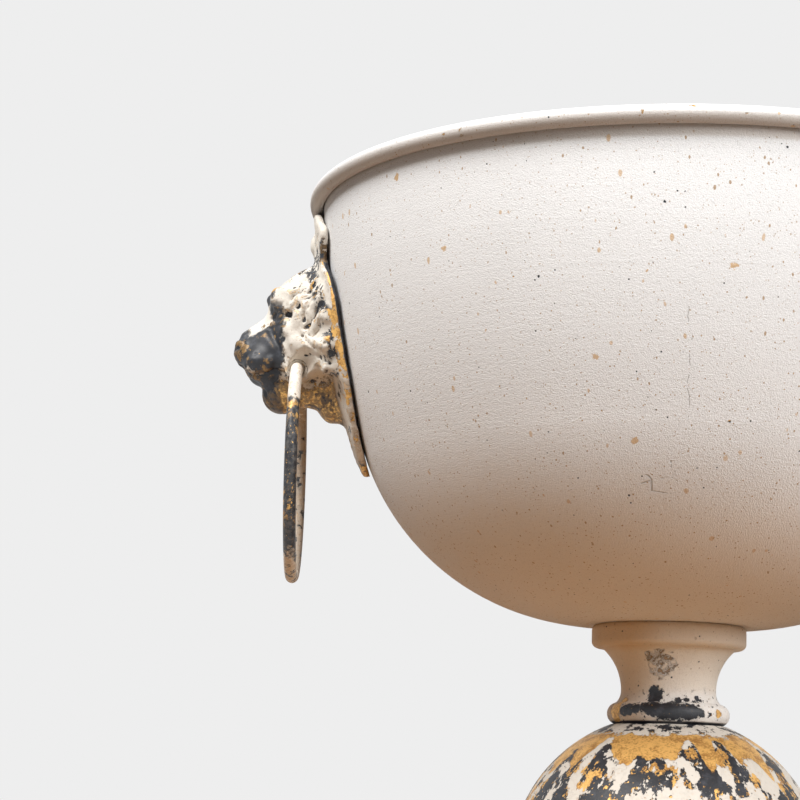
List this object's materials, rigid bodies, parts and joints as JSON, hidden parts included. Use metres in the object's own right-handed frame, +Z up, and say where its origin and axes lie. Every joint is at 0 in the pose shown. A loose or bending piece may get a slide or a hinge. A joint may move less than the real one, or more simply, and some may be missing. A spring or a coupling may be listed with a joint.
{
  "type": "flowerpot",
  "caption": "Footed round metal flowerpot with a rolled rim, a turned stem on a domed foot, and lion masks whose hanging ring handles swing.",
  "frame": {"origin": "centre of the ring on which the foot stands, at floor level", "axes": "+Z up along the axis of the bowl, +X towards the right lion mask"},
  "size_m": [0.3728, 0.3116, 0.298],
  "materials": {
    "bowl_paint": "matte off-white paint, gritty, with rust specks and small chips",
    "stem_paint": "off-white paint worn through to black and gold coats",
    "foot_paint": "distressed cream over black over gold paint",
    "mask_paint": "thick cream paint over black, gold on the worn edges",
    "ring_paint": "charcoal coat with gold and cream remains",
    "steel": "zinc plated",
    "wire": "bare drawn wire",
    "gasket": "moulded"
  },
  "bodies": {
    "pot": {"bowl": "bowl_paint", "rim_wire": "wire", "stem": "stem_paint", "foot": "foot_paint", "centre_bolt": "steel", "foot_nut": "steel", "bowl_washer": "steel", "foot_washer": "steel", "bowl_gasket": "gasket", "lion_mask_left": "mask_paint", "lion_mask_right": "mask_paint", "mask_screws": "steel", "mask_washers": "steel"},
    "left_ring": {"ring_left": "ring_paint"},
    "right_ring": {"ring_right": "ring_paint"}
  },
  "joints": [
    {"name": "left_ring_swing", "type": "hinge", "parent": "pot", "child": "left_ring", "pos_m": [-0.15808, 0, 0.2204], "axis": [0, 1, 0], "range_deg": [-32, 170]},
    {"name": "right_ring_swing", "type": "hinge", "parent": "pot", "child": "right_ring", "pos_m": [0.15808, 0, 0.2204], "axis": [0, -1, 0], "range_deg": [-32, 170]}
  ]
}
